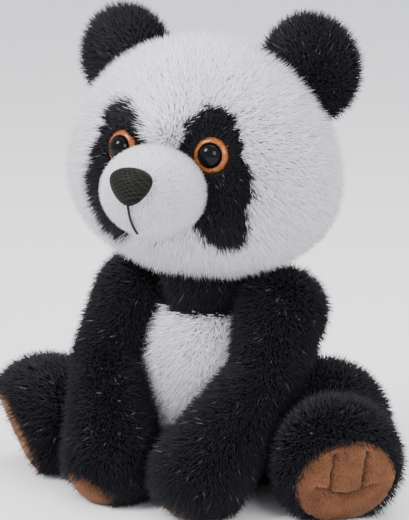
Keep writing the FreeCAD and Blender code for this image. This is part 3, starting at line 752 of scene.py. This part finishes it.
class PANDA_OT_ears(bpy.types.Operator):
    """Make the ears' front and back covers"""
    bl_idname = "panda.ears"
    bl_label = "Ears"

    def execute(self, context):
        body, pile = context.scene.panda_body, context.scene.panda_pile
        black = bpy.data.materials["black_pile"]
        for side in SIDES:
            seam = joints["ear_" + side]
            up = unit(Vector((seam.x, 0, seam.z - head_middle().z)))
            centre = seam + up * body.ear_rise
            turn = up.to_track_quat("Z", "Y").to_matrix()
            bm = bmesh.new()
            bmesh.ops.create_icosphere(bm, subdivisions=5, radius=1.0)
            for v in bm.verts:
                flat = Vector((v.co.x * (body.ear_radius - 0.001), v.co.y * (body.ear_half_thick - 0.0015),
                               v.co.z * (body.ear_radius - 0.001)))
                along = Vector((up.z, 0, -up.x)) * flat.x
                v.co = centre + along + up * flat.z + Vector((0, flat.y, 0))
            skin = mesh_from(bm, "ear_skin_" + side)
            for part, wanted in (("front", lambda c: c.y <= centre.y), ("back", lambda c: c.y > centre.y)):
                name = f"ear_{part}_fur_{side}"
                pile_piece(name, patch_of(skin, name, wanted), black, "ear_" + side, (f"ear_{part}_{side}",),
                           lambda co, n: co - seam, pile.long * 0.8, 0.00024, 1.9e6, seed=130,
                           long=lambda c: 0.75 + 0.25 * min(1.0, (c - centre).length / body.ear_radius))
            bpy.data.meshes.remove(skin)
        return {"FINISHED"}


class PANDA_OT_torso(bpy.types.Operator):
    """Make the torso's panels and the neck"""
    bl_idname = "panda.torso"
    bl_label = "Torso"

    def execute(self, context):
        body, pile = context.scene.panda_body, context.scene.panda_pile
        white, black = bpy.data.materials["white_pile"], bpy.data.materials["black_pile"]
        middle = Vector(body.torso_middle)
        skin = egg_skin("torso_skin", middle, body.torso_half_width - body.plump, body.torso_half_depth - body.plump,
                        body.torso_rise - body.plump, body.torso_drop - body.plump)
        flat_to_floor(skin, 0.002)
        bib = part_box("belly_bib")
        top, bottom = bib[1][2] + 0.015, 0.018
        seam_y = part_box("back_panel_left")[0][1]
        seat_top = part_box("seat_panel")[1][2]

        def in_bib(c):
            if c.y > middle.y - 0.01 or not bottom < c.z < top:
                return False
            share = (c.z - bottom) / (top - bottom)
            half = 0.013 + 0.033 * share
            dip = 0.008 * (1 - (c.x / 0.046) ** 2)
            return abs(c.x) < half and c.z < top - dip

        front = lambda c: seat_top < c.z and c.y <= seam_y and not in_bib(c)
        regions = (
            ("chest_fur", black, ("chest_yoke",), lambda c: front(c) and c.z > 0.088),
            ("belly_side_fur", black, ("belly_side_panel",), lambda c: front(c) and c.z <= 0.088),
            ("bib_fur", white, ("belly_bib",), lambda c: seat_top < c.z and in_bib(c)),
            ("back_fur_left", black, ("back_panel_left", "torso_stuffing"),
             lambda c: seat_top < c.z and c.y > seam_y and c.x >= 0),
            ("back_fur_right", black, ("back_panel_right",), lambda c: seat_top < c.z and c.y > seam_y and c.x < 0),
            ("seat_fur", black, ("seat_panel",), lambda c: c.z <= seat_top),
        )
        for k, (name, mat, stands_for, wanted) in enumerate(regions):
            pile_piece(name, patch_of(skin, name, wanted), mat, "torso", stands_for,
                       lambda co, n: Vector((co.x * 4, 0, -1)), pile.long * 1.1, 0.00030,
                       1.6e6 if name in ("bib_fur", "chest_fur") else 1.1e6, seed=200 + 7 * k,
                       grow=(lambda c: 0.25) if name == "seat_fur" else always)
        neck = joints["neck_turn"]
        ball = egg_skin("neck_fur", neck, 0.0225, 0.0225, 0.0225, 0.0225, detail=4)
        pile_piece("neck_fur", ball, black, "neck", ("neck_stuffing",), lambda co, n: Vector((0, 0, -1)),
                   pile.long, 0.00026, 1.2e6, seed=260)
        bpy.data.meshes.remove(skin)
        return {"FINISHED"}


def nearest_way(points, co):
    """Direction of the limb's run that is nearest to a point."""
    best, way = None, None
    for a, b in zip(points, points[1:]):
        share = min(1.0, max(0.0, (co - a).dot(b - a) / (b - a).length_squared))
        gap = (co - a.lerp(b, share)).length
        if best is None or gap < best:
            best, way = gap, b - a
    return unit(way)


class PANDA_OT_arms(bpy.types.Operator):
    """Make the arms and their paw pads"""
    bl_idname = "panda.arms"
    bl_label = "Arms"

    def execute(self, context):
        body, pile = context.scene.panda_body, context.scene.panda_pile
        black, brown = bpy.data.materials["black_pile"], bpy.data.materials["brown_pile"]
        for side in SIDES:
            shoulder = joints["shoulder_" + side]
            points = [shoulder, shoulder + mirrored(body.elbow, side), mirrored(body.paw, side)]
            skin = limb_skin("arm_skin_" + side, points, [r - body.plump for r in body.arm_radii])
            flat_to_floor(skin, 0.002)
            low, high = (Vector(p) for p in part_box("paw_pad_" + side))
            normal = unit((low + high) / 2 - points[2])
            plane = points[2] + normal * (body.arm_radii[2] * 0.70)
            on_pad = lambda c: (c - plane).dot(normal) > 0
            cover = patch_of(skin, "arm_fur_" + side, lambda c: not on_pad(c))
            pile_piece("arm_fur_" + side, cover, black, "arm_" + side, ("arm_cover_" + side, "arm_stuffing_" + side),
                       lambda co, n: nearest_way(points, co), pile.long, 0.00030, 1.35e6, seed=300)
            pad = patch_of(skin, "paw_pad_plush_" + side, on_pad)
            for v in pad.vertices:
                v.co += unit(v.co - points[2]) * 0.0022
            flat_to_floor(pad, 0.0012)
            pile_piece("paw_pad_plush_" + side, pad, brown, "arm_" + side, ("paw_pad_" + side,),
                       lambda co, n: Vector((0, 0, -1)), pile.velvet, 0.00016, 9e6, lift=0.7, seed=330)
            bpy.data.meshes.remove(skin)
        return {"FINISHED"}


def crease_gap(x, y):
    """Distance to the nearest toe stitch or fold of a pad whose radius is one."""
    toe = math.hypot(abs(x) - 0.34, max(0.0, y - 0.80, -0.12 - y))
    fold = math.hypot(max(0.0, abs(x) - 0.62), y + 0.12 + 0.10 * math.cos(x * 4))
    return min(toe, fold)


def pad_dome(name, radius, frame_of_pad):
    """A round pad blown up by its stuffing, held down at its rim and along its toe stitches."""
    bm = bmesh.new()
    bmesh.ops.create_icosphere(bm, subdivisions=5, radius=1.0)
    bmesh.ops.bisect_plane(bm, geom=bm.verts[:] + bm.edges[:] + bm.faces[:], plane_co=(0, 0, 0.02),
                           plane_no=(0, 0, 1), clear_inner=True)
    held = []
    for v in bm.verts:
        x, y = v.co.x, v.co.y
        stitched = v.is_boundary or crease_gap(x, y) < 0.04
        if stitched:
            held.append(v.index)
        v.co = Vector((x, y, 0.0 if stitched else 0.05 + 0.10 * (1 - math.hypot(x, y)))) * radius * SIM_SCALE
    start = mesh_from(bm, name)
    obj = add_object(name + "_dome", start.copy())
    group = obj.vertex_groups.new(name="held")
    group.add(held, 1.0, "REPLACE")
    cloth = obj.modifiers.new("stuffing", "CLOTH")
    cloth.settings.quality = 8
    cloth.settings.use_pressure = True
    cloth.settings.uniform_pressure_force = 4.0
    cloth.settings.vertex_group_mass = "held"
    cloth.settings.effector_weights.gravity = 0.0
    cloth.point_cache.frame_start, cloth.point_cache.frame_end = 1, 20
    for step in range(1, 21):
        bpy.context.scene.frame_set(step)
    mesh = evaluated(obj, name)
    bpy.context.scene.frame_set(1)
    for v, before in zip(mesh.vertices, start.vertices):
        swell = v.co - before.co
        reach = min(swell.length, 0.006 * SIM_SCALE)
        v.co = frame_of_pad @ ((before.co + unit(swell) * reach) / SIM_SCALE)
    bpy.data.meshes.remove(start)
    mesh.update()
    return mesh


class PANDA_OT_legs(bpy.types.Operator):
    """Make the legs, the sole pads and the toe stitches"""
    bl_idname = "panda.legs"
    bl_label = "Legs"

    def execute(self, context):
        body, pile = context.scene.panda_body, context.scene.panda_pile
        black, brown = bpy.data.materials["black_pile"], bpy.data.materials["brown_pile"]
        thread = bpy.data.materials["thread_brown"]
        yaw, down = math.radians(body.sole_yaw), math.radians(body.sole_down)
        for side in SIDES:
            hip = joints["hip_" + side]
            points = [hip, hip + mirrored(body.ankle, side), hip + mirrored(body.foot, side)]
            out = mirrored((math.sin(yaw) * math.cos(down), -math.cos(yaw) * math.cos(down), -math.sin(down)), side)
            plane = points[2] + out * (body.sole_flat - 0.0015)
            skin = limb_skin("leg_skin_" + side, points, [r - body.plump for r in body.leg_radii])
            for v in skin.vertices:
                v.co -= out * max(0.0, (v.co - plane).dot(out))
            flat_to_floor(skin, 0.002)
            radius = math.sqrt(body.leg_radii[2] ** 2 - body.sole_flat ** 2) - 0.0005
            skin.update()

            def grow(c):
                return 0.0 if (c - plane).dot(out) > -0.0004 and (c - plane).length < radius else 1.0

            def flow(co, _normal):
                near = (co - plane).dot(out)
                if near > -0.016:
                    return (co - plane) * 30 + out * 0.9
                return nearest_way(points, co)

            pile_piece("leg_fur_" + side, skin, black, "leg_" + side, ("leg_cover_" + side, "leg_stuffing_" + side),
                       flow, pile.long, 0.00030, 1.0e6, seed=400, grow=grow)
            across = unit(Vector((0, 0, 1)).cross(out))
            up = out.cross(across)
            turn = Matrix((across, up, out)).transposed().to_4x4()
            frame_of_pad = Matrix.Translation(plane) @ turn
            flat = frame_of_pad.inverted()

            def gap(c):
                place_on_pad = flat @ c / radius
                return crease_gap(place_on_pad.x, place_on_pad.y)

            dome = pad_dome("sole_pad_plush_" + side, radius, frame_of_pad)
            pile_piece("sole_pad_plush_" + side, dome, brown, "leg_" + side, ("sole_pad_" + side,),
                       lambda co, n: Vector((0, 0, -1)) + (co - plane) * 20, pile.velvet, 0.00018, 8e6,
                       lift=0.7, seed=430, grow=lambda c: 0.15 if gap(c) < 0.03 else 1.0,
                       long=lambda c: min(1.0, 0.25 + gap(c) * 6))
            bm = bmesh.new()
            for k in (-1, 1):
                bmesh.ops.create_cone(
                    bm, segments=10, cap_ends=True, radius1=0.0006, radius2=0.0006, depth=radius * 0.86,
                    matrix=frame_of_pad @ Matrix.Translation((k * 0.34 * radius, 0.33 * radius, 0.0010))
                    @ Matrix.Rotation(math.radians(-86), 4, "X"),
                )
            toes = add_object("toe_threads_" + side, mesh_from(bm, "toe_threads_" + side), thread)
            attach(toes, "leg_" + side)
            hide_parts("toe_stitches_" + side)
        return {"FINISHED"}


class PANDA_OT_small(bpy.types.Operator):
    """Give the small sewn and hidden pieces their materials"""
    bl_idname = "panda.small"
    bl_label = "Threads and hidden pieces"

    def execute(self, context):
        looks = {"paw_stitch_left": "thread_brown", "paw_stitch_right": "thread_brown",
                 "back_closing_stitches": "thread_black", "pellet_bag": "filling", "pellets": "filling",
                 "eye_washer_left": "washer_plastic", "eye_washer_right": "washer_plastic",
                 "nose_washer": "washer_plastic"}
        for node, look in looks.items():
            for slot in frame["nodes"][node].material_slots:
                slot.link = "OBJECT"
                slot.material = bpy.data.materials[look]
        return {"FINISHED"}


class PANDA_OT_stage(bpy.types.Operator):
    """Make the floor, the lights and the camera"""
    bl_idname = "panda.stage"
    bl_label = "Stage"

    def execute(self, context):
        scene = context.scene
        bm = bmesh.new()
        bmesh.ops.create_grid(bm, x_segments=1, y_segments=1, size=6.0)
        mat, nodes, links, shader = material("studio_floor")
        shader.inputs["Base Color"].default_value = (0.90, 0.90, 0.91, 1)
        shader.inputs["Roughness"].default_value = 0.9
        floor = add_object("floor", mesh_from(bm, "floor"), mat)
        world = bpy.data.worlds.new("studio")
        world.use_nodes = True
        world.node_tree.nodes["Background"].inputs["Color"].default_value = (0.94, 0.95, 1.0, 1)
        world.node_tree.nodes["Background"].inputs["Strength"].default_value = 1.45
        scene.world = world
        for name, at, energy, width in (("key", (-0.55, -1.0, 1.15), 27.0, 0.5), ("fill", (1.0, -0.75, 0.75), 13.0, 0.6),
                                        ("top", (0.1, 0.4, 1.5), 14.0, 1.0)):
            light = bpy.data.lights.new(name, "AREA")
            light.energy = energy
            light.size = width
            lamp = bpy.data.objects.new(name, light)
            lamp.location = at
            lamp.rotation_euler = (Vector((0, 0, 0.12)) - Vector(at)).to_track_quat("-Z", "Y").to_euler()
            scene.collection.objects.link(lamp)
        camera = bpy.data.cameras.new("camera")
        camera.lens = 153.8
        camera.shift_x, camera.shift_y = -0.0087, 0.046
        eye = bpy.data.objects.new("camera", camera)
        azimuth, elevation, distance = math.radians(30), math.radians(12), 1.2
        away = Vector((math.sin(azimuth) * math.cos(elevation), -math.cos(azimuth) * math.cos(elevation),
                       math.sin(elevation)))
        eye.location = Vector((0, 0, 0.11)) + away * distance
        eye.rotation_euler = (-away).to_track_quat("-Z", "Y").to_euler()
        scene.collection.objects.link(eye)
        scene.camera = eye
        return {"FINISHED"}


OPERATORS = (PANDA_OT_materials, PANDA_OT_head, PANDA_OT_eyes, PANDA_OT_nose, PANDA_OT_ears, PANDA_OT_torso,
             PANDA_OT_arms, PANDA_OT_legs, PANDA_OT_small, PANDA_OT_stage)


class PANDA_PT_panel(bpy.types.Panel):
    """Sidebar buttons that build the panda piece by piece"""
    bl_idname = "PANDA_PT_panel"
    bl_label = "Plush panda"
    bl_space_type = "VIEW_3D"
    bl_region_type = "UI"
    bl_category = "Panda"

    def draw(self, context):
        for group in (context.scene.panda_body, context.scene.panda_face, context.scene.panda_pile):
            for name in group.__annotations__:
                self.layout.prop(group, name)
        for operator in OPERATORS:
            self.layout.operator(operator.bl_idname)


def register():
    for cls in (*GROUPS, *OPERATORS, PANDA_PT_panel):
        bpy.utils.register_class(cls)
    bpy.types.Scene.panda_body = bpy.props.PointerProperty(type=PandaBody)
    bpy.types.Scene.panda_face = bpy.props.PointerProperty(type=PandaFace)
    bpy.types.Scene.panda_pile = bpy.props.PointerProperty(type=PandaPile)


def unregister():
    del bpy.types.Scene.panda_pile, bpy.types.Scene.panda_face, bpy.types.Scene.panda_body
    for cls in reversed((*GROUPS, *OPERATORS, PANDA_PT_panel)):
        bpy.utils.unregister_class(cls)


def main():
    register()
    for operator in OPERATORS:
        group, name = operator.bl_idname.split(".")
        getattr(getattr(bpy.ops, group), name)()
    bpy.data.objects.remove(bpy.data.objects["strand_pattern"])


if __name__ == "__main__":
    main()
